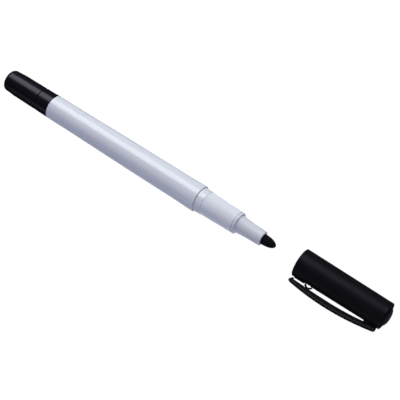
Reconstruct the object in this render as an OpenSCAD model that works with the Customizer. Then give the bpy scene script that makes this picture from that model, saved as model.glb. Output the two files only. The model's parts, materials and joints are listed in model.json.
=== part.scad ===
// Slim twin-tip felt marker, lying on its side with the main cap pulled off.
// +X runs along the axis from the tail cap to the bullet tip, +Z is up.
// The origin is on the axis, in the middle of the barrel's straight rear stretch.
// Turned pieces are drawn as outlines of [radius, x] points and spun round the X axis.

/* [Barrel] */
// Diameter of the barrel's straight rear stretch
grip_d = 10.14; // [10.12:0.01:10.3]
// Length of the barrel's straight rear stretch
grip_l = 14.5; // [10:0.5:20]
// Length of the whole barrel tube
barrel_l = 75; // [70:0.5:90]
// Diameter at the end of the long taper
taper_d = 10.8; // [10.6:0.02:11]
// Diameter of the flared front rim
rim_d = 11.12; // [11.1:0.02:11.3]
// Length of the front flare
flare_l = 10; // [6:0.5:14]
// Bore that holds the ink reservoir
bore_d = 8.04; // [7.96:0.02:8.2]

/* [Front holder] */
// Diameter of the glossy band next to the barrel
band_d = 9.96; // [9.9:0.02:10]
// Length of the glossy band
band_l = 3.15; // [2.5:0.05:3.5]
// Diameter of the matte land where it meets the band
land_d = 9.68; // [9.5:0.02:9.7]
// Diameter of the matte land at its front end, and of the bead
bead_d = 8.98; // [8.8:0.02:9]
// Length of the matte land
land_l = 14.45; // [14:0.05:14.6]
// Length of the bead ring
bead_l = 1.15; // [1:0.05:1.5]
// Diameter of the nose at its front end
nose_d = 6.04; // [5.6:0.02:6.1]
// Length of the nose
nose_l = 11.15; // [10:0.05:11.2]

/* [Nibs] */
// Diameter of the bullet nib
bullet_d = 4.2; // [3.8:0.05:4.3]
// How far the bullet nib stands out of the nose
bullet_out = 5.8; // [4.5:0.1:5.9]
// Diameter of the fine nib
fine_d = 1.1; // [0.9:0.05:1.2]

/* [Main cap] */
// Distance that the cap has been pulled off the pen
cap_off = 46.9; // [40:0.1:80]
// Length of the cap, rim to rim
cap_l = 37.7; // [37.7:0.1:42]
// Outer diameter at the open rim
cap_open_d = 11.54; // [11.4:0.02:11.8]
// Outer diameter at the closed rim
cap_closed_d = 10.94; // [10.8:0.02:11.4]
// Height of the dome above the closed rim
dome_h = 1.4; // [1:0.1:2]

/* [Clip] */
// Turn of the clip round the axis, from straight up
clip_angle = 117.5; // [0:0.5:180]
// Width of the clip's outer flange
clip_w = 3.3; // [2.8:0.1:3.6]
// Thickness of the clip's outer flange
flange_t = 1.15; // [1:0.05:1.4]
// Distance from the axis to the top of the clip's bow
bow_r = 9.44; // [9.3:0.02:9.8]
// Radius of the clip's bow, seen from the side
bow_curve_r = 102; // [100:1:140]

/* [Tail] */
// Length of the black collar between barrel and tail cap
collar_l = 6.3; // [5:0.1:7]
// Length of the tail cap
tail_cap_l = 17.5; // [17.5:0.1:22]
// Diameter of the tail cap at its open rim
tail_open_d = 9.76; // [9.6:0.02:9.8]
// Diameter where the grip ribs end
tail_mid_d = 9.56; // [9.4:0.02:9.6]
// Diameter just before the rounded end
tail_end_d = 9.1; // [8.9:0.02:9.4]
// Number of grip ribs
rib_count = 18; // [8:1:20]
// Height of a grip rib
rib_h = 0.1; // [0.05:0.01:0.15]

/* [Hidden] */
$fn = 72;

// Stations along the axis
rear_edge = 0.3;
rear_x = -(grip_l / 2 + rear_edge);
front_x = rear_x + barrel_l;
taper_end_x = front_x - flare_l;
bead_x = front_x + band_l + land_l;
nose_x = bead_x + bead_l;
nose_end_x = nose_x + nose_l;
collar_end_x = rear_x - collar_l;
cap_x = front_x + cap_off;

// Barrel
rim_edge = 0.35;
mouth_r = 5.16;
mouth_depth = 1;
front_plug_r = 4.55;
front_plug_l = 12;
rear_plug_r = 4.25;
rear_plug_l = 9;
plug_gap = 0.5;

// Front holder
band_lead = 0.6;
band_edge = 0.15;
bead_edge = 0.3;
groove_w = 0.2;
groove_depth = 0.22;
holder_cavity_r = 3.3;
holder_cavity_end_x = bead_x - 3;
nose_root_rise = 0.2;
nose_root_flare = 0.45;
nose_edge = 0.3;

// Ink system
film_t = 0.1;
reservoir_r = 3.8;
reservoir_rear_x = rear_x + rear_plug_l + 1;
reservoir_front_x = front_x - front_plug_l - 1;
bullet_tail_x = reservoir_front_x - 8;
bullet_tail_cone = 4;
bullet_tail_r = 0.8;
bullet_cylinder_out = 0.8;
fine_tail_x = reservoir_rear_x + 8;

// Rear holder, and the fine tip under the tail cap, measured back from the barrel
collar_barrel_r = 5.05;
collar_tail_r = 4.98;
neck_r = 4.3;
neck_l = 5;
rear_nose_root_r = 3.4;
rear_nose_end_r = 1.7;
rear_nose_l = 6;
rear_cavity_r = 3.1;
rear_cavity_lead_l = 1;
ferrule_r = 1.1;
ferrule_tip_r = 0.8;
ferrule_in = 4;
ferrule_out = 3;
ferrule_taper = 1.2;
fine_out = 2;
neck_end_x = collar_end_x - neck_l;
rear_nose_end_x = neck_end_x - rear_nose_l;
ferrule_tip_x = rear_nose_end_x - ferrule_out;
fine_tip_x = ferrule_tip_x - fine_out;

// Tail cap
seam_gap = 0.2;
seam_edge = 0.15;
tail_end_x = collar_end_x - seam_gap - tail_cap_l;
tail_round = 1.3;
tail_bore_gap = 0.05;
tail_inner_r = 3.7;
tail_wall = 1.4;
tail_step_gap = 0.3;
tail_step_x = neck_end_x - tail_step_gap;
rib_start = 0.9;
rib_pitch = 0.66;
rib_panel_angle = 50;
rib_crest = [0.35, 0.65];
rib_root_depth = 0.3;

// Main cap, measured from its open rim
cap_edge = 0.3;
cap_mouth_r = 5.04;
cap_mouth_l = 3.8;
cap_mouth_lead = 0.25;
cap_bore_r = 4.92;
snap_start = 17;
snap_r = 4.56;
snap_end = 19.4;
snap_lead_l = 0.5;
seal_outer_r = 4.4;
seal_start = 19.9;
seal_lead_r = 3.75;
seal_lead_l = 1.4;
seal_bore_r = 3.45;
seal_floor = 36.5;
end_recess_r = 5;
end_recess_depth = 1;
dome_r = 4.1;
dome_base_depth = 0.5;
dome_fullness = 0.7;

// Clip, with s measured from the cap's open rim and rho from the axis
bow_s = 16;
tip_s = -0.26;
tip_round = 0.9;
root_s = 31.6;
root_end_s = 36.75;
flex_gap = 0.05;
web_w = 2.1;
root_foot_r = 5;
web_top_r = 6.9;
web_tip_curve_r = 380;
web_root_curve_r = 115;
clip_edge = 0.35;
arch_s = 7.5;
arch_r = 1.9;
arch_t = 0.4;
arch_top_r = 6.9;
arch_foot_r = 5.86;
lip_l = 0.7;
lip_foot_r = 6.2;
lip_overlap = 0.3;
pad_start = 1.05;
pad_l = 4.5;
pad_w = 2.6;
pad_h = 0.3;
pad_sink = 0.5;
pocket_start = 6.2;
pocket_l = 2.4;
pocket_floor_r = 5.36;

// Rises from 0 to 1, level at both ends
function ease(u) = (1 - cos(180 * u)) / 2;

// Points of an arc in [radius, x], from angle a0 to a1
function arc(r, x, rad, a0, a1, n = 6) =
    [for (i = [0:n]) let (a = a0 + (a1 - a0) * i / n) [r + rad * cos(a), x + rad * sin(a)]];

// Evenly spaced fractions of a stretch, without its two ends
function inner_steps(n) = [for (i = [1:n - 1]) i / n];

// Radius of the nose along its length, u = 0 at its root
function nose_radius(u) =
    nose_d / 2 + nose_root_rise * (1 - u) + nose_root_flare * pow(1 - u, 3);

// Radius of the tail cap's plain surface, v = 0 at its open rim and 1 where the ribs end
function tail_radius(v) = tail_open_d / 2 + (tail_mid_d - tail_open_d) / 2 * v;

// Distance from the axis to the clip's outer face and to its inner edge
function bow_rho(s) = bow_r - pow(s - bow_s, 2) / (2 * bow_curve_r);
function web_rho(s) =
    web_top_r - pow(s - bow_s, 2) / (2 * (s < bow_s ? web_tip_curve_r : web_root_curve_r));

module turned(outline) {
    rotate([0, 90, 0]) rotate_extrude() polygon(outline);
}

// Places clip features: x along the cap from its open rim, z away from the axis
module on_clip_side() {
    translate([cap_x, 0, 0]) rotate([clip_angle, 0, 0]) children();
}

// A plate of width w whose side view is an outline of [s, rho] points
module side_plate(outline, w) {
    translate([0, w / 2, 0]) rotate([90, 0, 0]) linear_extrude(w) polygon(outline);
}

module barrel() {
    grip_r = grip_d / 2;
    taper_r = taper_d / 2;
    rim_r = rim_d / 2;
    taper_start_x = rear_x + rear_edge + grip_l;
    taper_len = taper_end_x - taper_start_x;
    rise = taper_r - grip_r;
    flare_len = flare_l - rim_edge;
    rear_socket_x = rear_x + rear_plug_l + plug_gap;
    front_socket_x = front_x - front_plug_l - plug_gap;
    outline = concat(
        arc(grip_r - rear_edge, rear_x + rear_edge, rear_edge, -90, 0),
        [[grip_r, taper_start_x]],
        [for (u = inner_steps(12)) [grip_r + rise * sin(90 * u), taper_start_x + taper_len * u]],
        [[taper_r, taper_end_x]],
        [for (u = inner_steps(8))
            [taper_r + (rim_r - taper_r) * ease(u), taper_end_x + flare_len * u]],
        arc(rim_r - rim_edge, front_x - rim_edge, rim_edge, 0, 90),
        [[mouth_r, front_x], [mouth_r, front_x - mouth_depth]],
        [[front_plug_r, front_x - mouth_depth], [front_plug_r, front_socket_x]],
        [[bore_d / 2, front_socket_x], [bore_d / 2, rear_socket_x]],
        [[rear_plug_r, rear_socket_x], [rear_plug_r, rear_x]]);
    color([0.86, 0.87, 0.91]) turned(outline);
}

module front_nib_holder() {
    band_r = band_d / 2;
    bead_r = bead_d / 2;
    band_end_x = front_x + band_l;
    outline = concat(
        [[holder_cavity_r, front_x - front_plug_l], [front_plug_r, front_x - front_plug_l]],
        [[front_plug_r, front_x - band_lead], [band_r, front_x - band_lead]],
        arc(band_r - band_edge, band_end_x - band_edge, band_edge, 0, 90, 3),
        [[land_d / 2, band_end_x], [bead_r, bead_x - groove_w]],
        [[bead_r - groove_depth, bead_x - groove_w], [bead_r - groove_depth, bead_x]],
        arc(bead_r - bead_edge, bead_x + bead_edge, bead_edge, -90, 0, 4),
        arc(bead_r - bead_edge, nose_x - bead_edge, bead_edge, 0, 90, 4),
        [[nose_radius(0), nose_x]],
        [for (u = inner_steps(10)) [nose_radius(u), nose_x + (nose_l - nose_edge) * u]],
        arc(nose_d / 2 - nose_edge, nose_end_x - nose_edge, nose_edge, 0, 90),
        [[bullet_d / 2, nose_end_x], [bullet_d / 2, bead_x]],
        [[holder_cavity_r, holder_cavity_end_x]]);
    color([0.84, 0.85, 0.89]) turned(outline);
}

// Outline of the nib's tail, which the reservoir's front pocket copies
function bullet_tail() = [[0, bullet_tail_x], [bullet_tail_r, bullet_tail_x],
    [bullet_d / 2, bullet_tail_x + bullet_tail_cone]];

module bullet_nib() {
    r = bullet_d / 2;
    round_x = nose_end_x + bullet_cylinder_out;
    round_l = bullet_out - bullet_cylinder_out;
    outline = concat(
        bullet_tail(),
        [for (a = [0:7.5:90]) [r * cos(a), round_x + round_l * sin(a)]]);
    color([0.05, 0.05, 0.06]) turned(outline);
}

module ink_reservoir() {
    fine_r = fine_d / 2;
    outline = concat(
        [[0, fine_tail_x]],
        bullet_tail(),
        [[bullet_d / 2, reservoir_front_x], [reservoir_r, reservoir_front_x]],
        [[reservoir_r, reservoir_rear_x], [fine_r, reservoir_rear_x], [fine_r, fine_tail_x]]);
    color([0.12, 0.12, 0.16]) turned(outline);
}

module reservoir_film() {
    outline = [[reservoir_r, reservoir_rear_x], [reservoir_r + film_t, reservoir_rear_x],
        [reservoir_r + film_t, reservoir_front_x], [reservoir_r, reservoir_front_x]];
    color([0.7, 0.72, 0.76]) turned(outline);
}

module rear_nib_holder() {
    outline = [[rear_cavity_r, rear_x + rear_plug_l], [rear_plug_r, rear_x + rear_plug_l],
        [rear_plug_r, rear_x], [collar_barrel_r, rear_x],
        [collar_tail_r, collar_end_x + seam_edge], [collar_tail_r - seam_edge, collar_end_x],
        [neck_r, collar_end_x], [neck_r, neck_end_x],
        [rear_nose_root_r, neck_end_x], [rear_nose_end_r, rear_nose_end_x],
        [ferrule_r, rear_nose_end_x], [ferrule_r, rear_nose_end_x + ferrule_in],
        [fine_d / 2, rear_nose_end_x + ferrule_in], [fine_d / 2, neck_end_x],
        [rear_cavity_r, neck_end_x + rear_cavity_lead_l]];
    color([0.1, 0.1, 0.12]) turned(outline);
}

module fine_nib_ferrule() {
    outline = [[fine_d / 2, ferrule_tip_x], [ferrule_tip_r, ferrule_tip_x],
        [ferrule_r, ferrule_tip_x + ferrule_taper], [ferrule_r, rear_nose_end_x + ferrule_in],
        [fine_d / 2, rear_nose_end_x + ferrule_in]];
    color([0.72, 0.73, 0.75]) turned(outline);
}

module fine_nib() {
    r = fine_d / 2;
    outline = concat(
        [[0, fine_tail_x], [r, fine_tail_x]],
        [for (a = [0:15:90]) [r * cos(a), fine_tip_x + r - r * sin(a)]]);
    color([0.05, 0.05, 0.06]) turned(outline);
}

// A ribbed sleeve a little larger than the tail cap
module rib_rings() {
    x0 = collar_end_x - seam_gap - rib_start;
    span = rib_count * rib_pitch;
    ribs = [for (i = [0:rib_count - 1], k = [0, rib_crest[0], rib_crest[1]])
        let (v = (i + k) / rib_count)
        [tail_radius(v) + (k == 0 ? 0 : rib_h), x0 - span * v]];
    root_r = tail_mid_d / 2 - rib_root_depth;
    turned(concat([[root_r, x0]], ribs, [[tail_radius(1), x0 - span], [root_r, x0 - span]]));
}

module tail_cap() {
    open_x = collar_end_x - seam_gap;
    plain_x = open_x - rib_start - rib_count * rib_pitch;
    neck_bore_r = neck_r + tail_bore_gap;
    floor_x = tail_end_x + tail_wall;
    outline = concat(
        [[tail_inner_r, floor_x], [0, floor_x], [0, tail_end_x]],
        arc(tail_end_d / 2 - tail_round, tail_end_x + tail_round, tail_round, -90, 0, 8),
        [[tail_mid_d / 2, plain_x], [tail_open_d / 2, open_x - seam_edge]],
        [[tail_open_d / 2 - seam_edge, open_x], [neck_bore_r, open_x]],
        [[neck_bore_r, tail_step_x], [tail_inner_r, tail_step_x]]);
    color([0.11, 0.11, 0.13]) {
        turned(outline);
        for (side = [0, 180]) rib_panel(side);
    }
}

// The ribs of one grip panel: the part of the rings that lies in a wedge from the axis
module rib_panel(side) {
    reach = 8;
    half_w = reach * tan(rib_panel_angle);
    intersection() {
        rib_rings();
        rotate([clip_angle + side, 0, 0]) translate([tail_end_x, 0, 0]) rotate([90, 0, 90])
            linear_extrude(tail_cap_l) polygon([[0, 0], [half_w, reach], [-half_w, reach]]);
    }
}

module cap_shell() {
    open_r = cap_open_d / 2;
    closed_r = cap_closed_d / 2;
    outline = concat(
        [[cap_mouth_r + cap_mouth_lead, 0]],
        arc(open_r - cap_edge, cap_edge, cap_edge, -90, 0, 4),
        arc(closed_r - cap_edge / 2, cap_l - cap_edge / 2, cap_edge / 2, 0, 90, 4),
        [[end_recess_r, cap_l], [end_recess_r, cap_l - end_recess_depth]],
        [[seal_outer_r, cap_l - end_recess_depth], [seal_outer_r, snap_end]],
        [[snap_r, snap_end], [snap_r, snap_start], [cap_bore_r, snap_start - snap_lead_l]],
        [[cap_bore_r, cap_mouth_l], [cap_mouth_r, cap_mouth_l]],
        [[cap_mouth_r, cap_mouth_lead]]);
    color([0.08, 0.08, 0.09]) {
        difference() {
            translate([cap_x, 0, 0]) turned(outline);
            on_clip_side() arch_pocket();
        }
        on_clip_side() {
            clip_beam(root_s, root_end_s);
            clip_root_web();
            clip_pad();
        }
    }
}

// The clip's bowed outer flange from s0 to s1, with rounded long edges
module clip_beam(s0, s1) {
    half_t = flange_t / 2;
    corner_s = clip_w / 2 - clip_edge;
    intersection() {
        translate([bow_s, 0, bow_r - bow_curve_r]) rotate([90, 0, 0]) rotate_extrude($fn = 360)
            translate([bow_curve_r - half_t, 0]) {
                square([flange_t, 2 * corner_s], center = true);
                square([flange_t - 2 * clip_edge, clip_w], center = true);
                for (r = [-1, 1], w = [-1, 1])
                    translate([r * (half_t - clip_edge), w * corner_s])
                        circle(clip_edge, $fn = 24);
            }
        translate([s0, -clip_w, 0]) cube([s1 - s0, 2 * clip_w, 2 * bow_r]);
    }
}

// The clip's root, standing on the cap under the flange
module clip_root_web() {
    steps = 6;
    top = [for (i = [0:steps]) let (s = root_s + (root_end_s - root_s) * i / steps)
        [s, bow_rho(s) - flange_t / 2]];
    side_plate(concat([[root_s, root_foot_r]], top, [[root_end_s, root_foot_r]]), web_w);
}

// A low pad on the cap, under the clip's tip
module clip_pad() {
    base_r = cap_open_d / 2 - pad_sink;
    top_r = cap_open_d / 2 + pad_h;
    side_plate([[pad_start, base_r], [pad_start + pad_h, top_r],
        [pad_start + pad_l - pad_h, top_r], [pad_start + pad_l, base_r]], pad_w);
}

// Cuts the shallow pocket in the cap under the arch
module arch_pocket() {
    top_r = cap_open_d / 2 + pad_h;
    pocket_end = pocket_start + pocket_l;
    side_plate([[pocket_start, pocket_floor_r], [pocket_start, top_r], [pocket_end, top_r],
        [pocket_end, pocket_floor_r]], pad_w);
}

module cap_inner_seal() {
    outline = concat(
        [[seal_lead_r, seal_start], [seal_outer_r, seal_start]],
        [[seal_outer_r, cap_l - end_recess_depth], [dome_r, cap_l - end_recess_depth]],
        [for (a = [0:10:90])
            [dome_r * pow(cos(a), dome_fullness),
                cap_l - dome_base_depth + (dome_h + dome_base_depth) * sin(a)]],
        [[0, seal_floor], [seal_bore_r, seal_floor], [seal_bore_r, seal_start + seal_lead_l]]);
    color([0.1, 0.1, 0.11]) translate([cap_x, 0, 0]) turned(outline);
}

module cap_clip() {
    s_end = root_s - flex_gap;
    steps = 24;
    stations = [for (i = [0:steps]) tip_s + tip_round + (s_end - tip_s - tip_round) * i / steps];
    inner = [for (i = [steps:-1:0]) [stations[i], web_rho(stations[i])]];
    outer = [for (s = stations) [s, bow_rho(s) - flange_t / 2]];
    color([0.08, 0.08, 0.09]) on_clip_side() {
        clip_beam(tip_s + tip_round, s_end);
        side_plate(concat(outer, inner), web_w);
        clip_tip();
        clip_arch();
    }
}

// The rounded free end, and the thin lip that keeps cloth from slipping out
module clip_tip() {
    s = tip_s + tip_round;
    top_rho = bow_rho(s);
    tip_r = (top_rho - web_rho(s)) / 2;
    intersection() {
        translate([s, clip_w / 2, top_rho - tip_r]) rotate([90, 0, 0]) cylinder(r = tip_r,
            h = clip_w);
        translate([tip_s, -clip_w, 0]) cube([2 * tip_round, 2 * clip_w, 2 * bow_r]);
    }
    root_rho = web_rho(s) + lip_overlap;
    side_plate([[s, root_rho], [s, lip_foot_r], [s + lip_l / 2, lip_foot_r],
        [s + lip_l, root_rho]], web_w);
}

// The springy arch that presses on the cap
module clip_arch() {
    intersection() {
        translate([arch_s, web_w / 2, arch_top_r - arch_r]) rotate([90, 0, 0])
            difference() {
                cylinder(r = arch_r, h = web_w);
                translate([0, 0, -1]) cylinder(r = arch_r - arch_t, h = web_w + 2);
            }
        translate([0, -clip_w, arch_foot_r]) cube([2 * arch_s, 2 * clip_w, 2]);
    }
}

barrel();
front_nib_holder();
bullet_nib();
ink_reservoir();
reservoir_film();
rear_nib_holder();
fine_nib_ferrule();
fine_nib();
tail_cap();
cap_shell();
cap_inner_seal();
cap_clip();
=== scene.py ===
import json
import math

import bmesh
import bpy
from mathutils import Matrix, Vector


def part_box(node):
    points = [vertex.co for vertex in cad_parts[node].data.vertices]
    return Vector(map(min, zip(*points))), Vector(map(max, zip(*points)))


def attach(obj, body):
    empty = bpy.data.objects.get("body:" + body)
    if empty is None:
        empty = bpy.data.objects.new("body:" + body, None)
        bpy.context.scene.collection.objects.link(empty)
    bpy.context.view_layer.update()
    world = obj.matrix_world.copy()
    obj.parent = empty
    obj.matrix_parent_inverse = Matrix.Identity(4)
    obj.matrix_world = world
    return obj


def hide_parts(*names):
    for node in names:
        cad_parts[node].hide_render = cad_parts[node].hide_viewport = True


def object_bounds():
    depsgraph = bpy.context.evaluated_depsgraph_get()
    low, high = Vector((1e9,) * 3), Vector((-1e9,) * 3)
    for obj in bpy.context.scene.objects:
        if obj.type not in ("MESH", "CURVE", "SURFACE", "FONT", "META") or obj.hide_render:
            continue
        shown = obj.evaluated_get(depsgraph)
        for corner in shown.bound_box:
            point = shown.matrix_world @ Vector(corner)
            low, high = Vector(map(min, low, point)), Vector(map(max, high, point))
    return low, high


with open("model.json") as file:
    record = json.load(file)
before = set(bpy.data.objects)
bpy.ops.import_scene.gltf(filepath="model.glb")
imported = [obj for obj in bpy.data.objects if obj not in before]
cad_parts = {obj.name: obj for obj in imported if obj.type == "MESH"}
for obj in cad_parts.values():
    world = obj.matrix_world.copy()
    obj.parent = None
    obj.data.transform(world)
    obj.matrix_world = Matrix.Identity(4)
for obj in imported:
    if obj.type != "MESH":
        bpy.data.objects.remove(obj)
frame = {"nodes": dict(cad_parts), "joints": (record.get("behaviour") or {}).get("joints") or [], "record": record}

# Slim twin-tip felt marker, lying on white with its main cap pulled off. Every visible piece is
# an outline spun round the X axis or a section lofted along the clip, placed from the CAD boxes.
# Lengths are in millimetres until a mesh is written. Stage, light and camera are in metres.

CAD_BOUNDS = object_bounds()
MM = 0.001

# Faces round a turned piece, the longest face along it, and the short one beside each edge
SEGMENTS = 192
RING_STEP = 0.8
HOLD = 0.08

RECORD = frame["record"]
GRIP = next(m for m in RECORD["mounts"] if m["name"] == "barrel_grip")
FLEX = next(j for j in frame["joints"] if j["name"] == "clip_flex")


def x_span(node):
    """Lowest and highest X of a CAD node, in millimetres."""
    low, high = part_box(node)
    return low.x / MM, high.x / MM


def radius(node):
    """Radius of a turned CAD node in millimetres, read on the +Y side, where no clip is."""
    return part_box(node)[1].y / MM


# Stations on the axis
REAR_X, FRONT_X = x_span("barrel")
PLUG_FRONT_X, NOSE_END_X = x_span("front_nib_holder")
REAR_NOSE_X, PLUG_REAR_X = x_span("rear_nib_holder")
BULLET_TAIL_X, BULLET_TIP_X = x_span("bullet_nib")
FINE_TIP_X, FINE_TAIL_X = x_span("fine_nib")
FERRULE_TIP_X, FERRULE_ROOT_X = x_span("fine_nib_ferrule")
TAIL_END_X, TAIL_OPEN_X = x_span("tail_cap")
CAP_X, CAP_END_X = x_span("cap_shell")
SEAL_X, DOME_X = x_span("cap_inner_seal")
CAP_LENGTH = CAP_END_X - CAP_X
END_RING_X = CAP_END_X - 0.4
DOME_BASE_X = CAP_END_X - 0.5
RECESS_X = CAP_END_X - 1

# Barrel
GRIP_R = GRIP["dims"]["r_mm"]
GRIP_END_X = GRIP["pos_m"][0] / MM + GRIP["dims"]["length_mm"] / 2
RIM_R = radius("barrel")
TAPER_R = 5.4
FLARE = 10
RIM_EDGE = 0.35
MOUTH_R = 5.16
MOUTH_DEPTH = 1
FRONT_PLUG_R = 4.55
REAR_PLUG_R = 4.25
BARREL_BORE_R = 4.02
PLUG_GAP = 0.5

# Front holder
BAND_R = radius("front_nib_holder")
BAND = 3.15
LAND_R = 4.84
LAND = 14.45
BEAD_R = 4.49
BEAD = 1.15
GROOVE = 0.2
GROOVE_DEPTH = 0.22
NOSE_R = 3.02
NOSE_ROOT_RISE = 0.2
NOSE_ROOT_FLARE = 0.45
NOSE_EDGE = 0.5
HOLDER_CAVITY_R = 3.3
HOLDER_CAVITY_END = 3

# Bullet nib
BULLET_R = radius("bullet_nib")
BULLET_BARE = 0.8
BULLET_TAIL = 4
BULLET_TAIL_R = 0.8

# Rear holder and fine tip
COLLAR = 6.3
COLLAR_FRONT_R = 5.05
COLLAR_REAR_R = 4.98
NECK = 5
NECK_R = 4.3
REAR_NOSE_ROOT_R = 3.4
REAR_NOSE_R = 1.7
REAR_CAVITY_R = 3.1
REAR_CAVITY_END = 6
FERRULE_R = radius("fine_nib_ferrule")
FERRULE_MOUTH_R = 0.8
FERRULE_TAPER = 1.2
FINE_R = radius("fine_nib")

# Tail cap
TAIL_OPEN_R = 4.88
TAIL_MID_R = 4.78
TAIL_END_R = 4.55
TAIL_ROUND = 1.3
TAIL_BORE_R = 4.35
TAIL_INNER_R = 3.7
TAIL_WALL = 1.4
NECK_GAP = 0.3
GATE_R = 0.7
GATE_FLOOR_R = 0.6
GATE_DEPTH = 0.12
RIBS = 18
RIB_PITCH = 0.66
RIB_START = 0.9
RIB_HEIGHT = 0.1
PANEL_HALF = math.radians(50)
PANEL_FADE = 0.2

# Main cap, measured from its open rim
CAP_OPEN_R = radius("cap_shell")
CAP_CLOSED_R = 5.47
CAP_MOUTH_R = 5.04
CAP_MOUTH = 3.8
CAP_BORE_R = 4.92
CAP_BORE = 16.5
SNAP_R = 4.56
SNAP = (17, 19.4)
SEAL_R = 4.4
SEAL_BORE_R = 3.45
SEAL_BORE_END = 36.5
SEAL_LIP = 1.4
SEAL_LIP_R = 3.75
END_RECESS_R = 5
DOME_R = 4.1
DOME_POWER = 0.7
PAD = (1.05, 5.55)
PAD_HALF_WIDTH = 1.3
PAD_HEIGHT = 0.3
PAD_FADE = 0.3
POCKET = (6.2, 8.6)
POCKET_FLOOR_R = 5.36

# Clip, measured along the cap from the same rim; its lip is measured from the clip's own tip
CLIP_ANGLE = math.atan2(-FLEX["pos_m"][1], FLEX["pos_m"][2])
ROOT = 31.6
ROOT_END = 36.75
FLEX_GAP = 0.005
TIP = -0.26
TIP_ROUND = 1.1
BOW_S = 16
BOW_R = 9.44
BOW_CURVE_R = 102
WEB_TOP_R = 6.9
WEB_TIP_CURVE_R = 380
WEB_ROOT_CURVE_R = 115
FLANGE_W = 3.3
FLANGE_T = 1.15
WEB_W = 2.1
ARCH_S = 7.5
ARCH_R = 1.9
ARCH_T = 0.5
ARCH_TOP_R = 6.9
ARCH_FOOT_R = 5.86
ROOT_SUNK = 0.35
ROOT_FOOT = 0.55
LIP = 0.9
LIP_T = 0.35
LIP_LAYERS = ((6.2, 0), (6.26, 0.08), (6.6, 0.14))  # distance from the axis, added width


# ---------------------------------------------------------------- outlines

def ease(u):
    """0 to 1, level at both ends."""
    return (1 - math.cos(math.pi * max(0, min(1, u)))) / 2


def steps(a, b, n):
    """n + 1 evenly spaced numbers from a to b."""
    return [a + (b - a) * i / n for i in range(n + 1)]


def rounded(points, closed=False, arc_steps=5):
    """An outline whose corners with a third number are rounded by that radius."""
    out = []
    count = len(points)
    for i, point in enumerate(points):
        corner = Vector(point[:2])
        inside = closed or 0 < i < count - 1
        if len(point) < 3 or not inside:
            out.append(corner)
            continue
        before = Vector(points[i - 1][:2]) - corner
        after = Vector(points[(i + 1) % count][:2]) - corner
        half = before.angle(after) / 2
        reach = min(point[2] / math.tan(half), 0.48 * before.length, 0.48 * after.length)
        fillet = reach * math.tan(half)
        centre = corner + (before.normalized() + after.normalized()).normalized() * (
            fillet / math.sin(half))
        start = corner + before.normalized() * reach - centre
        end = corner + after.normalized() * reach - centre
        turn = start.angle_signed(end)
        for k in range(arc_steps + 1):
            out.append(centre + Matrix.Rotation(-turn * k / arc_steps, 2) @ start)
    return out


def rounded_box(x_low, x_high, y_low, y_high, corner):
    """A closed rectangle with rounded corners."""
    return rounded([(x_low, y_low, corner), (x_high, y_low, corner),
                    (x_high, y_high, corner), (x_low, y_high, corner)], closed=True)


def resampled(outline, step):
    """Splits long straights, with a short step at each end so that edges keep their shading."""
    out = [outline[0]]
    for a, b in zip(outline, outline[1:]):
        length = (b - a).length
        if length > 4 * HOLD:
            n = max(1, math.ceil((length - 2 * HOLD) / step))
            out += [a.lerp(b, (HOLD + (length - 2 * HOLD) * k / n) / length)
                    for k in range(n + 1)]
        out.append(b)
    return out


# ---------------------------------------------------------------- meshes

def add_object(name, data):
    """A new object in the scene."""
    item = bpy.data.objects.new(name, data)
    bpy.context.scene.collection.objects.link(item)
    return item


def add_mesh(bm, name, material):
    """A smooth-shaded object made of this mesh, which is freed."""
    mesh = bpy.data.meshes.new(name)
    bm.to_mesh(mesh)
    bm.free()
    mesh.shade_smooth()
    mesh.materials.append(material)
    return add_object(name, mesh)


def finish_piece(bm, name, body, material, nodes=()):
    """Writes the mesh in metres, hangs it on the body it rides on and hides the CAD nodes it replaces."""
    bmesh.ops.remove_doubles(bm, verts=bm.verts, dist=1e-7 / MM)
    bmesh.ops.recalc_face_normals(bm, faces=bm.faces)
    bmesh.ops.scale(bm, vec=(MM, MM, MM), verts=bm.verts)
    piece = add_mesh(bm, name, material)
    piece.data.set_sharp_from_angle(angle=math.radians(35))
    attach(piece, body)
    if nodes:
        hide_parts(*nodes)


def skin(bm, rings, loop=False):
    """Faces between neighbouring closed rings of vertices; a ring of one vertex is a pole."""
    pairs = list(zip(rings, rings[1:]))
    if loop:
        pairs.append((rings[-1], rings[0]))
    for a, b in pairs:
        n = max(len(a), len(b))
        for k in range(n):
            corners = [a[k % len(a)], a[(k + 1) % len(a)], b[(k + 1) % len(b)], b[k % len(b)]]
            unique = list(dict.fromkeys(corners))
            if len(unique) > 2:
                bm.faces.new(unique)


def lathe(outline, step=RING_STEP, segments=SEGMENTS, relief=None):
    """Spins a closed outline of (x, r) points round the X axis, raised where relief says so."""
    points = resampled(rounded(outline), step)
    on_axis = points[0].y < 1e-6 and points[-1].y < 1e-6
    bm = bmesh.new()
    rings = []
    for x, r in points:
        if r < 1e-6:
            rings.append([bm.verts.new((x, 0, 0))])
            continue
        ring = []
        for k in range(segments):
            angle = 2 * math.pi * k / segments
            extra = relief(x, r, angle) if relief else 0
            ring.append(bm.verts.new((x, -(r + extra) * math.sin(angle),
                                      (r + extra) * math.cos(angle))))
        rings.append(ring)
    skin(bm, rings, loop=not on_axis)
    return bm


def on_clip_side(s, across, rho):
    """A point given along the cap, across the clip and out from the axis."""
    sin, cos = math.sin(CLIP_ANGLE), math.cos(CLIP_ANGLE)
    return CAP_X + s, across * cos - rho * sin, across * sin + rho * cos


def loft(sections):
    """A solid through closed sections of points that all have the same count."""
    bm = bmesh.new()
    rings = [[bm.verts.new(p) for p in section] for section in sections]
    skin(bm, rings)
    bm.faces.new(rings[0])
    bm.faces.new(rings[-1])
    return bm


# ---------------------------------------------------------------- materials

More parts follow.
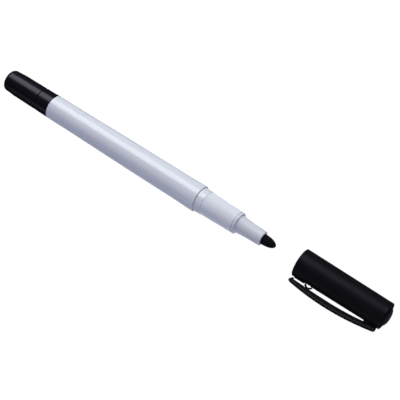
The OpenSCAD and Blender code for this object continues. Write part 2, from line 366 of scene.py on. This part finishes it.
class Shader:
    """A Principled material and short ways to feed its sockets from object coordinates."""

    def __init__(self, name, **sockets):
        self.material = bpy.data.materials.new(name)
        self.material.use_nodes = True
        self.tree = self.material.node_tree
        self.bsdf = self.tree.nodes["Principled BSDF"]
        for socket, value in sockets.items():
            self.bsdf.inputs[socket.replace("_", " ")].default_value = value
        self.place = self.add("ShaderNodeTexCoord").outputs["Object"]

    def add(self, kind, **settings):
        node = self.tree.nodes.new(kind)
        for key, value in settings.items():
            setattr(node, key, value)
        return node

    def link(self, source, target):
        self.tree.links.new(source, target)

    def noise(self, grain, stretch=(1, 1, 1), detail=3.0, seed=0.0):
        """Noise whose features are about grain millimetres, stretched along each axis."""
        mapping = self.add("ShaderNodeMapping")
        mapping.inputs["Scale"].default_value = [1 / (grain * MM * k) for k in stretch]
        mapping.inputs["Location"].default_value = (seed, seed * 1.7, seed * 2.3)
        self.link(self.place, mapping.inputs["Vector"])
        noise = self.add("ShaderNodeTexNoise")
        noise.inputs["Scale"].default_value = 1
        noise.inputs["Detail"].default_value = detail
        self.link(mapping.outputs["Vector"], noise.inputs["Vector"])
        return noise.outputs["Fac"]

    def spread(self, source, low, high, start=0.3, end=0.7):
        """Maps a factor from start..end onto low..high."""
        node = self.add("ShaderNodeMapRange")
        for socket, value in zip(("From Min", "From Max", "To Min", "To Max"),
                                 (start, end, low, high)):
            node.inputs[socket].default_value = value
        self.link(source, node.inputs["Value"])
        return node.outputs["Result"]

    def tint(self, source, first, second):
        """Mixes two colours by a factor into the base colour."""
        mix = self.add("ShaderNodeMix", data_type="RGBA")
        mix.inputs["A"].default_value = (*first, 1)
        mix.inputs["B"].default_value = (*second, 1)
        self.link(source, mix.inputs["Factor"])
        self.link(mix.outputs["Result"], self.bsdf.inputs["Base Color"])

    def rough(self, source):
        self.link(source, self.bsdf.inputs["Roughness"])

    def bump(self, *layers):
        """Stacks (factor, height in millimetres) layers into the surface normal."""
        normal = None
        for source, height in layers:
            node = self.add("ShaderNodeBump")
            node.inputs["Strength"].default_value = 1
            node.inputs["Distance"].default_value = height * MM
            self.link(source, node.inputs["Height"])
            if normal:
                self.link(normal, node.inputs["Normal"])
            normal = node.outputs["Normal"]
        self.link(normal, self.bsdf.inputs["Normal"])


def barrel_white():
    """Glossy moulded polypropylene with faint flow marks and handling wear."""
    s = Shader("barrel_white", IOR=1.49, Subsurface_Weight=0.12, Subsurface_Scale=0.001)
    s.bsdf.inputs["Subsurface Radius"].default_value = (1.0, 1.0, 1.1)
    s.tint(s.noise(9, (3, 1, 1)), (0.533, 0.556, 0.595), (0.547, 0.570, 0.608))
    s.rough(s.spread(s.noise(1.4, (9, 1, 1), detail=5), 0.15, 0.22))
    s.bump((s.noise(6, (3, 1, 1), detail=1), 0.012), (s.noise(0.25, (6, 1, 1)), 0.0006))
    return s.material


def holder_white(name, low, high, grain_height, specular, tone=1.0):
    """White plastic of the nib holder, glossy to finely eroded; a tone below 1 darkens it."""
    s = Shader(name, IOR=1.49, Subsurface_Weight=0.12, Subsurface_Scale=0.001,
               Specular_IOR_Level=specular)
    s.bsdf.inputs["Subsurface Radius"].default_value = (1.0, 1.0, 1.1)
    first = tuple(tone * c for c in (0.53, 0.553, 0.588))
    second = tuple(tone * c for c in (0.546, 0.569, 0.604))
    s.tint(s.noise(5), first, second)
    s.rough(s.spread(s.noise(0.8, detail=4), low, high))
    s.bump((s.noise(0.16, detail=2), grain_height), (s.noise(4, detail=1), 0.006))
    return s.material


def black_plastic(name, base, low, high, grain, grain_height, specular):
    """Black moulded plastic with an eroded mould texture and slight rub marks."""
    s = Shader(name, IOR=1.49, Specular_IOR_Level=specular, Specular_Tint=(0.78, 0.77, 1, 1))
    lighter = tuple(c * 1.35 for c in base)
    s.tint(s.noise(4, (2.5, 1, 1)), base, lighter)
    s.rough(s.spread(s.noise(1.1, (4, 1, 1), detail=5), low, high))
    s.bump((s.noise(grain, detail=2), grain_height), (s.noise(5, detail=1), 0.008))
    return s.material


def nib_felt():
    """Bonded fibres that run along the nib, soaked in black ink."""
    s = Shader("nib_felt", Specular_IOR_Level=0.06, Sheen_Weight=0.01, Sheen_Roughness=0.6)
    fibres = s.noise(0.07, (16, 1, 1), detail=3)
    s.tint(fibres, (0.002, 0.002, 0.003), (0.0055, 0.0055, 0.007))
    s.rough(s.spread(fibres, 0.75, 0.95))
    s.bump((fibres, 0.02), (s.noise(0.5, detail=2), 0.03))
    return s.material


def ferrule_steel():
    """Drawn steel tube with fine marks along it."""
    s = Shader("ferrule_steel", Metallic=1.0)
    marks = s.noise(0.05, (40, 1, 1), detail=2)
    s.tint(s.noise(1.5), (0.55, 0.56, 0.58), (0.62, 0.63, 0.65))
    s.rough(s.spread(marks, 0.22, 0.38))
    s.bump((marks, 0.0015))
    return s.material


def reservoir_fibre():
    """Bundled filler fibre, dark with ink."""
    s = Shader("reservoir_fibre", Specular_IOR_Level=0.2)
    strands = s.noise(0.12, (30, 1, 1), detail=4)
    s.tint(strands, (0.012, 0.012, 0.018), (0.04, 0.04, 0.055))
    s.rough(s.spread(strands, 0.7, 0.95))
    s.bump((strands, 0.03))
    return s.material


def reservoir_wrap():
    """Thin crinkled plastic film."""
    s = Shader("reservoir_wrap", IOR=1.5)
    creases = s.noise(1.8, (0.5, 1, 1), detail=4)
    s.tint(s.noise(6), (0.58, 0.60, 0.63), (0.66, 0.68, 0.71))
    s.rough(s.spread(creases, 0.12, 0.3))
    s.bump((creases, 0.03))
    return s.material


def floor_white():
    """Even white that takes no shadow, as under a studio cut-out."""
    s = Shader("floor_white", Base_Color=(0.02, 0.02, 0.02, 1), Roughness=0.9,
               Specular_IOR_Level=0.0, Emission_Color=(1, 1, 1, 1), Emission_Strength=1.0)
    return s.material


# ---------------------------------------------------------------- pieces of the pen

def nose_radius(u):
    """Radius of the nose from its root at 0 to its end at 1."""
    return NOSE_R + NOSE_ROOT_RISE * (1 - u) + NOSE_ROOT_FLARE * (1 - u) ** 3


def make_barrel(material):
    """A straight grip, a slow swell, and a flare to the rim."""
    taper_end = FRONT_X - FLARE
    rise = TAPER_R - GRIP_R
    outline = [(REAR_X, REAR_PLUG_R), (REAR_X, GRIP_R, 0.3), (GRIP_END_X, GRIP_R)]
    outline += [(x, GRIP_R + rise * math.sin(math.pi / 2 * (x - GRIP_END_X)
                                             / (taper_end - GRIP_END_X)))
                for x in steps(GRIP_END_X, taper_end, 30)[1:]]
    outline += [(taper_end + (FLARE - RIM_EDGE) * u, TAPER_R + (RIM_R - TAPER_R) * ease(u))
                for u in steps(0, 1, 12)[1:]]
    outline += [(FRONT_X, RIM_R, 0.33), (FRONT_X, MOUTH_R, 0.04),
                (FRONT_X - MOUTH_DEPTH, MOUTH_R), (FRONT_X - MOUTH_DEPTH, FRONT_PLUG_R),
                (PLUG_FRONT_X - PLUG_GAP, FRONT_PLUG_R), (PLUG_FRONT_X - PLUG_GAP, BARREL_BORE_R),
                (PLUG_REAR_X + PLUG_GAP, BARREL_BORE_R), (PLUG_REAR_X + PLUG_GAP, REAR_PLUG_R)]
    finish_piece(lathe(outline), "barrel_tube", "pen", material, ["barrel"])


def make_front_holder(gloss, matte, satin):
    """The holder is cut at its two texture changes: plug with band, textured land, nose."""
    band_end = FRONT_X + BAND
    bead = band_end + LAND
    nose = bead + BEAD
    taper = NOSE_END_X - NOSE_EDGE - nose
    cavity_r = HOLDER_CAVITY_R
    band = [(PLUG_FRONT_X, cavity_r), (PLUG_FRONT_X, FRONT_PLUG_R, 0.2),
            (FRONT_X - 0.6, FRONT_PLUG_R), (FRONT_X - 0.6, BAND_R, 0.1),
            (band_end, BAND_R, 0.12), (band_end, cavity_r)]
    land = [(band_end, cavity_r), (band_end, LAND_R, 0.04), (bead - GROOVE, BEAD_R, 0.06),
            (bead - GROOVE, BEAD_R - GROOVE_DEPTH), (bead, BEAD_R - GROOVE_DEPTH),
            (bead, BULLET_R), (bead - HOLDER_CAVITY_END, cavity_r)]
    tip = [(bead, BULLET_R), (bead, BEAD_R, 0.3), (nose, BEAD_R, 0.3),
           (nose, nose_radius(0), 0.1)]
    tip += [(nose + taper * u, nose_radius(u)) for u in steps(0, 1, 16)[1:]]
    tip += [(NOSE_END_X, NOSE_R, 0.45), (NOSE_END_X, BULLET_R, 0.08)]
    finish_piece(lathe(band), "holder_band", "pen", gloss, ["front_nib_holder"])
    finish_piece(lathe(land), "holder_land", "pen", matte)
    finish_piece(lathe(tip), "holder_nose", "pen", satin)


def make_bullet_nib(material):
    """A rod with a slim tail in the reservoir and a half-ellipse for its point."""
    shoulder = NOSE_END_X + BULLET_BARE
    length = BULLET_TIP_X - shoulder
    outline = [(BULLET_TAIL_X, 0), (BULLET_TAIL_X, BULLET_TAIL_R, 0.1),
               (BULLET_TAIL_X + BULLET_TAIL, BULLET_R), (shoulder, BULLET_R)]
    outline += [(shoulder + length * math.sin(a), BULLET_R * math.cos(a))
                for a in steps(0, math.pi / 2, 18)[1:-1]]
    outline.append((BULLET_TIP_X, 0))
    bm = lathe(outline, step=1.5, segments=96)
    finish_piece(bm, "bullet_nib_felt", "pen", material, ["bullet_nib"])


def make_rear_holder(material):
    """The plug with its collar in view, and the neck and nose that the tail cap covers."""
    collar_end = REAR_X - COLLAR
    neck_end = collar_end - NECK
    cavity_end = REAR_NOSE_X + REAR_CAVITY_END
    outline = [(PLUG_REAR_X, REAR_CAVITY_R), (PLUG_REAR_X, REAR_PLUG_R, 0.2),
               (REAR_X, REAR_PLUG_R), (REAR_X, COLLAR_FRONT_R, 0.05),
               (collar_end, COLLAR_REAR_R, 0.15),
               (collar_end, NECK_R, 0.05), (neck_end, NECK_R, 0.15),
               (neck_end, REAR_NOSE_ROOT_R, 0.1), (REAR_NOSE_X, REAR_NOSE_R, 0.2),
               (REAR_NOSE_X, FERRULE_R), (FERRULE_ROOT_X, FERRULE_R),
               (FERRULE_ROOT_X, FINE_R), (cavity_end, FINE_R), (cavity_end + 1, REAR_CAVITY_R)]
    finish_piece(lathe(outline), "rear_holder_collar", "pen", material,
                 ["rear_nib_holder"])


def make_fine_tip(steel, felt):
    """The thin nib and the metal tube round it."""
    ferrule = [(FERRULE_TIP_X, FINE_R), (FERRULE_TIP_X, FERRULE_MOUTH_R, 0.08),
               (FERRULE_TIP_X + FERRULE_TAPER, FERRULE_R, 0.4), (FERRULE_ROOT_X, FERRULE_R),
               (FERRULE_ROOT_X, FINE_R)]
    finish_piece(lathe(ferrule, segments=64), "fine_tip_ferrule", "pen",
                 steel, ["fine_nib_ferrule"])
    nib = [(FINE_TAIL_X, 0), (FINE_TAIL_X, FINE_R)]
    nib += [(FINE_TIP_X + FINE_R * (1 - math.sin(a)), FINE_R * math.cos(a))
            for a in steps(0, math.pi / 2, 8)[:-1]]
    nib.append((FINE_TIP_X, 0))
    finish_piece(lathe(nib, step=2, segments=48), "fine_tip_felt", "pen", felt,
                 ["fine_nib"])


def make_ink_core(fibre, wrap):
    """The filler and its wrap keep their CAD shapes, because they are never seen."""
    for node, material in (("ink_reservoir", fibre), ("reservoir_film", wrap)):
        cad = frame["nodes"][node]
        cad.data.materials.clear()
        cad.data.materials.append(material)


# ---------------------------------------------------------------- tail cap

def rib_relief(x, r, angle):
    """Height of the finger ribs at a place on the tail cap's outside."""
    if r < TAIL_BORE_R + 0.1:
        return 0
    along = (TAIL_OPEN_X - RIB_START - x) / RIB_PITCH
    if not 0 < along < RIBS:
        return 0
    turn = abs((angle - CLIP_ANGLE + math.pi / 2) % math.pi - math.pi / 2)
    inside = ease((PANEL_HALF - turn) / PANEL_FADE)
    return RIB_HEIGHT * inside * ease(2 * min(along % 1, 1 - along % 1))


def make_tail_cap(material):
    """A thimble with two panels of finger ribs and a gate mark in the middle of its end."""
    plain_x = TAIL_OPEN_X - RIB_START - RIBS * RIB_PITCH
    neck_step = REAR_X - COLLAR - NECK - NECK_GAP
    floor = TAIL_END_X + TAIL_WALL
    ribbed = [(plain_x + RIBS * RIB_PITCH * u, TAIL_MID_R + (TAIL_OPEN_R - TAIL_MID_R) * u)
              for u in steps(0, 1, RIBS * 8)]
    outline = [(floor, 0), (floor, TAIL_INNER_R), (neck_step, TAIL_INNER_R),
               (neck_step, TAIL_BORE_R), (TAIL_OPEN_X, TAIL_BORE_R, 0.05),
               (TAIL_OPEN_X, TAIL_OPEN_R, 0.15)]
    outline += ribbed[::-1]
    outline += [(TAIL_END_X, TAIL_END_R, TAIL_ROUND), (TAIL_END_X, GATE_R, 0.05),
                (TAIL_END_X + GATE_DEPTH, GATE_FLOOR_R, 0.05), (TAIL_END_X + GATE_DEPTH, 0)]
    bm = lathe(outline, segments=2 * SEGMENTS, relief=rib_relief)
    finish_piece(bm, "tail_cap_body", "tail_cap", material, ["tail_cap"])


# ---------------------------------------------------------------- main cap

def cap_radius(s):
    """Outer radius of the cap at s millimetres from its open rim."""
    return CAP_OPEN_R + (CAP_CLOSED_R - CAP_OPEN_R) * s / CAP_LENGTH


def pad_relief(x, r, angle):
    """The low pad under the clip's tip, and the flat pocket under its arch."""
    s = x - CAP_X
    across = abs((angle - CLIP_ANGLE + math.pi) % (2 * math.pi) - math.pi)
    if r < CAP_MOUTH_R + 0.3 or across > math.pi / 4:
        return 0
    if PAD[0] < s < PAD[1]:
        ends = ease(min(s - PAD[0], PAD[1] - s) / PAD_FADE)
        return PAD_HEIGHT * ends * ease((PAD_HALF_WIDTH - across * r) / PAD_FADE)
    if POCKET[0] < s < POCKET[1] and across * r < PAD_HALF_WIDTH:
        return min(0, POCKET_FLOOR_R / math.cos(across) - r)
    return 0


def make_cap_shell(material, edge):
    """The shell, with its closed rim as a ring of its own that came glossier from the mould.

    Its rings lie close together along the pad and at both ends of the pocket."""
    ring_r = cap_radius(END_RING_X - CAP_X)
    outline = [(CAP_X, CAP_MOUTH_R + 0.2, 0.1), (CAP_X, CAP_OPEN_R, 0.3)]
    outline += [(CAP_X + s, cap_radius(s)) for s in steps(0.4, 6, 40)]
    outline += [(CAP_X + s, cap_radius(s)) for end in POCKET for s in (end - 0.03, end + 0.03)]
    outline += [(END_RING_X, ring_r), (END_RING_X, END_RECESS_R),
                (RECESS_X, END_RECESS_R, 0.1), (RECESS_X, SEAL_R),
                (CAP_X + SNAP[1], SEAL_R), (CAP_X + SNAP[1], SNAP_R),
                (CAP_X + SNAP[0], SNAP_R, 0.1),
                (CAP_X + CAP_BORE, CAP_BORE_R, 0.1), (CAP_X + CAP_MOUTH, CAP_BORE_R),
                (CAP_X + CAP_MOUTH, CAP_MOUTH_R), (CAP_X + 0.25, CAP_MOUTH_R)]
    outline.append(outline[0][:2])
    bm = lathe(outline, relief=pad_relief)
    finish_piece(bm, "cap_tube", "cap", material, ["cap_shell"])
    ring = [(END_RING_X, END_RECESS_R), (END_RING_X, ring_r),
            (CAP_END_X, CAP_CLOSED_R, 0.3), (CAP_END_X, END_RECESS_R, 0.08)]
    ring.append(ring[0])
    finish_piece(lathe(ring), "cap_end_ring", "cap", edge)


def make_cap_seal(material):
    """The cup that closes round the nose, with a flattened dome in the cap's end."""
    bore_x = CAP_X + SEAL_BORE_END
    height = DOME_X - DOME_BASE_X
    outline = [(bore_x, 0), (bore_x, SEAL_BORE_R, 0.4), (SEAL_X + SEAL_LIP, SEAL_BORE_R, 0.2),
               (SEAL_X, SEAL_LIP_R, 0.05), (SEAL_X, SEAL_R, 0.2),
               (RECESS_X, SEAL_R), (RECESS_X, DOME_R)]
    outline += [(DOME_BASE_X + height * math.sin(a), DOME_R * math.cos(a) ** DOME_POWER)
                for a in steps(0, math.pi / 2, 20)[:-1]]
    outline.append((DOME_X, 0))
    finish_piece(lathe(outline), "cap_seal_cup", "cap", material,
                 ["cap_inner_seal"])


# ---------------------------------------------------------------- clip

def bow_rho(s):
    """Distance of the clip's bowed top from the axis."""
    return BOW_R - (s - BOW_S) ** 2 / (2 * BOW_CURVE_R)


def web_rho(s):
    """Distance of the web's lower edge from the axis."""
    curve = WEB_TIP_CURVE_R if s < BOW_S else WEB_ROOT_CURVE_R
    return WEB_TOP_R - (s - BOW_S) ** 2 / (2 * curve)


def clip_section(s, top, under, low, flange_w, web_w, foot=0.0):
    """T-shaped section: a rounded flange over a narrower web, which may flare at its foot."""
    half, web = flange_w / 2, web_w / 2
    side = [(half, top, 0.42), (half, under, 0.3), (web, under, 0.15)]
    if foot:
        side.append((web, low + foot, 0.3))
    side.append((web + foot, low, 0.12))
    corners = side + [(-across, rho, r) for across, rho, r in reversed(side)]
    return [on_clip_side(s, across, rho) for across, rho in rounded(corners, closed=True)]


def make_clip(material):
    """The bowed strip, whose sections swell from a small one at its rounded free end."""
    sections = []
    for u in [0.02, 0.08, 0.18, 0.3, 0.45, 0.6, 0.75, 0.9]:
        swell = math.sqrt(1 - (1 - u) ** 2)
        s = TIP + TIP_ROUND * u
        top, low = bow_rho(s), web_rho(s)
        middle = (top + low) / 2 + 0.1
        sections.append(clip_section(
            s, middle + (top - middle) * swell, middle + (top - FLANGE_T - middle) * swell,
            middle + (low - middle) * swell, FLANGE_W * (0.35 + 0.65 * swell),
            WEB_W * (0.45 + 0.55 * swell)))
    for s in steps(TIP + TIP_ROUND, ROOT - FLEX_GAP, 60):
        sections.append(clip_section(s, bow_rho(s), bow_rho(s) - FLANGE_T, web_rho(s),
                                     FLANGE_W, WEB_W))
    finish_piece(loft(sections), "clip_strip", "clip", material, ["cap_clip"])


def make_clip_root(material):
    """The part of the clip that stands on the cap, flared where it meets the shell."""
    edge, outer = 0.2, 0.75
    stations = steps(ROOT, ROOT_END - outer, 12)
    stations += [ROOT_END - outer * k for k in (0.8, 0.6, 0.42, 0.27, 0.15, 0.06, 0)]
    sections = []
    for s in stations:
        inset = edge * (1 - math.sqrt(1 - max(0, (s - ROOT_END + edge) / edge) ** 2))
        drop = outer * (1 - math.sqrt(1 - max(0, (s - ROOT_END + outer) / outer) ** 2))
        top = bow_rho(s)
        sections.append(clip_section(s, top - drop, top - FLANGE_T + min(0, 0.3 - drop),
                                     cap_radius(s) - ROOT_SUNK, FLANGE_W - 2 * inset,
                                     WEB_W - 2 * inset, foot=ROOT_FOOT))
    finish_piece(loft(sections), "clip_root", "cap", material)


def make_clip_arch(material):
    """Thin springy arch whose feet press on the cap."""
    middle = ARCH_R - ARCH_T / 2
    centre = ARCH_TOP_R - ARCH_R
    reach = math.acos((ARCH_FOOT_R - centre) / middle)
    strap = rounded_box(-WEB_W / 2, WEB_W / 2, -ARCH_T / 2, ARCH_T / 2, 0.1)
    sections = []
    for a in steps(-reach, reach, 24):
        sections.append([on_clip_side(ARCH_S + (middle + out) * math.sin(a), across,
                                      centre + (middle + out) * math.cos(a))
                         for across, out in strap])
    finish_piece(loft(sections), "clip_arch", "clip", material)


def make_clip_lip(material):
    """The small lip under the clip's tip, wider layer by layer from its foot."""
    front = TIP + LIP
    sections = []
    for rho, grow in LIP_LAYERS:
        layer = rounded_box(front - grow, front + LIP_T + grow, -WEB_W / 2, WEB_W / 2, 0.1)
        sections.append([on_clip_side(s, across, rho) for s, across in layer])
    finish_piece(loft(sections), "clip_lip", "clip", material)


# ---------------------------------------------------------------- stage, light and camera

def make_floor():
    """A plain white studio sweep: a flat floor, in metres, that curves up into a wall."""
    flat, bend, wall, segments = 2.5, 0.8, 3.0, 64
    profile = [(0, 0), (flat, 0)]
    profile += [(flat + bend * math.sin(a), bend * (1 - math.cos(a)))
                for a in steps(0, math.pi / 2, 8)[1:]]
    profile.append((flat + bend, wall))
    bm = bmesh.new()
    rings = [[bm.verts.new((0, 0, 0))]]
    for r, z in profile[1:]:
        rings.append([bm.verts.new((r * math.cos(a), r * math.sin(a), z))
                      for a in steps(0, 2 * math.pi, segments)[:-1]])
    skin(bm, rings)
    floor = add_mesh(bm, "floor", floor_white())
    floor.location = (0, 0, CAD_BOUNDS[0][2])
    floor.visible_diffuse = False
    floor.visible_glossy = False
    floor.visible_shadow = False


def placed(position, across, up, back):
    """The matrix that puts a light or camera there, with its own axes along these three."""
    return Matrix.Translation(position) @ Matrix((across, up, back)).transposed().to_4x4()


def make_light(name, aim, direction, distance, size, radiance, colour=(1, 1, 1), mirrored=True):
    """A rectangular softbox of an even radiance, seen from aim in that direction.

    One that isn't mirrored shows in no reflection."""
    data = bpy.data.lights.new(name, "AREA")
    data.shape = "RECTANGLE"
    data.size, data.size_y = size
    data.energy = radiance * math.pi * size[0] * size[1]
    data.color = colour
    light = add_object(name, data)
    light.visible_camera = False
    light.visible_glossy = mirrored
    away = Vector(direction).normalized()
    across = Vector((1, 0, 0)) - away * away.x
    across.normalize()
    light.matrix_world = placed(Vector(aim) + away * distance, across, away.cross(across), away)


def make_world(fill, *lobes):
    """An even fill plus lobes of light, each a colour and the direction that it comes from.

    The world shows in no reflection."""
    world = bpy.data.worlds.new("studio_fill")
    world.use_nodes = True
    nodes, links = world.node_tree.nodes, world.node_tree.links
    direction = nodes.new("ShaderNodeTexCoord").outputs["Generated"]
    total = None
    for colour, source in lobes:
        facing = nodes.new("ShaderNodeVectorMath")
        facing.operation = "DOT_PRODUCT"
        facing.inputs[1].default_value = Vector(source).normalized()
        links.new(direction, facing.inputs[0])
        positive = nodes.new("ShaderNodeMath")
        positive.operation = "MAXIMUM"
        positive.inputs[1].default_value = 0
        links.new(facing.outputs["Value"], positive.inputs[0])
        add = nodes.new("ShaderNodeVectorMath")
        add.operation = "MULTIPLY_ADD"
        add.inputs[0].default_value = colour
        add.inputs[2].default_value = fill
        links.new(positive.outputs["Value"], add.inputs[1])
        if total:
            links.new(total, add.inputs[2])
        total = add.outputs["Vector"]
    links.new(total, nodes["Background"].inputs["Color"])
    world.cycles_visibility.glossy = False
    bpy.context.scene.world = world


def make_camera(elevation, azimuth, roll, distance, lens, aim):
    """Azimuth 0 looks along +Y, and 90 along -X."""
    el, az = math.radians(elevation), math.radians(azimuth)
    back = Vector((math.sin(az) * math.cos(el), -math.cos(az) * math.cos(el), math.sin(el)))
    right = Vector((math.cos(az), math.sin(az), 0))
    right = Matrix.Rotation(math.radians(roll), 3, back) @ right
    up = back.cross(right)
    data = bpy.data.cameras.new("camera")
    data.lens = lens
    data.sensor_width = 36
    data.clip_start = 0.01
    camera = add_object("camera", data)
    camera.matrix_world = placed(Vector(aim) + back * distance, right, up, back)
    bpy.context.scene.camera = camera


# ---------------------------------------------------------------- the scene

make_camera(elevation=56.6, azimuth=37.6, roll=-0.5, distance=0.438, lens=102,
            aim=(FRONT_X * MM + 0.00022, -0.00027, -0.00014))
make_world((0.03, 0.03, 0.16), ((0.70, 0.73, 0.68), (0, 0.6, 0.8)),
           ((2.0, 2.08, 2.25), (0, 0, -1)))
make_light("softbox", (0.02, 0, 0), (-0.34, 0.27, 0.92), 0.62, (0.6, 0.47), 4.5, (1, 0.99, 0.97))
make_light("side_softbox", (0.08, 0, 0), (0.72, -0.36, 0.6), 0.17, (0.2, 0.2), 0.55,
           mirrored=False)
make_light("table_glow", (0.03, 0, 0), (0, -0.93, -0.37), 0.6, (0.9, 0.24), 0.5)
make_light("back_glow", (0.06, 0, 0), (-0.1, 0.45, -0.87), 0.6, (0.5, 0.9), 0.25)
make_light("end_glow", (CAP_END_X * MM, 0, 0), (0.68, 0.33, -0.65), 0.3, (0.2, 0.25), 0.22)
make_floor()

white_gloss = holder_white("holder_gloss", 0.13, 0.2, 0.0005, 0.5)
white_matte = holder_white("holder_matte", 0.62, 0.78, 0.006, 0.2)
white_satin = holder_white("holder_satin", 0.38, 0.48, 0.002, 0.35, tone=0.89)
tail_black = black_plastic("tail_black", (0.0048, 0.0046, 0.0064), 0.2, 0.28, 0.12, 0.001, 0.27)
cap_black = black_plastic("cap_black", (0.0041, 0.004, 0.0054), 0.36, 0.46, 0.15, 0.002, 0.075)
clip_black = black_plastic("clip_black", (0.0041, 0.004, 0.0054), 0.24, 0.34, 0.15, 0.0012, 0.25)
seal_black = black_plastic("seal_black", (0.005, 0.0049, 0.0064), 0.36, 0.46, 0.2, 0.001, 0.25)
felt = nib_felt()

make_barrel(barrel_white())
make_front_holder(white_gloss, white_matte, white_satin)
make_bullet_nib(felt)
make_rear_holder(tail_black)
make_fine_tip(ferrule_steel(), felt)
make_ink_core(reservoir_fibre(), reservoir_wrap())
make_tail_cap(tail_black)
make_cap_shell(cap_black, clip_black)
make_cap_seal(seal_black)
make_clip(clip_black)
make_clip_root(clip_black)
make_clip_arch(clip_black)
make_clip_lip(clip_black)

bpy.context.scene.view_settings.view_transform = "Standard"
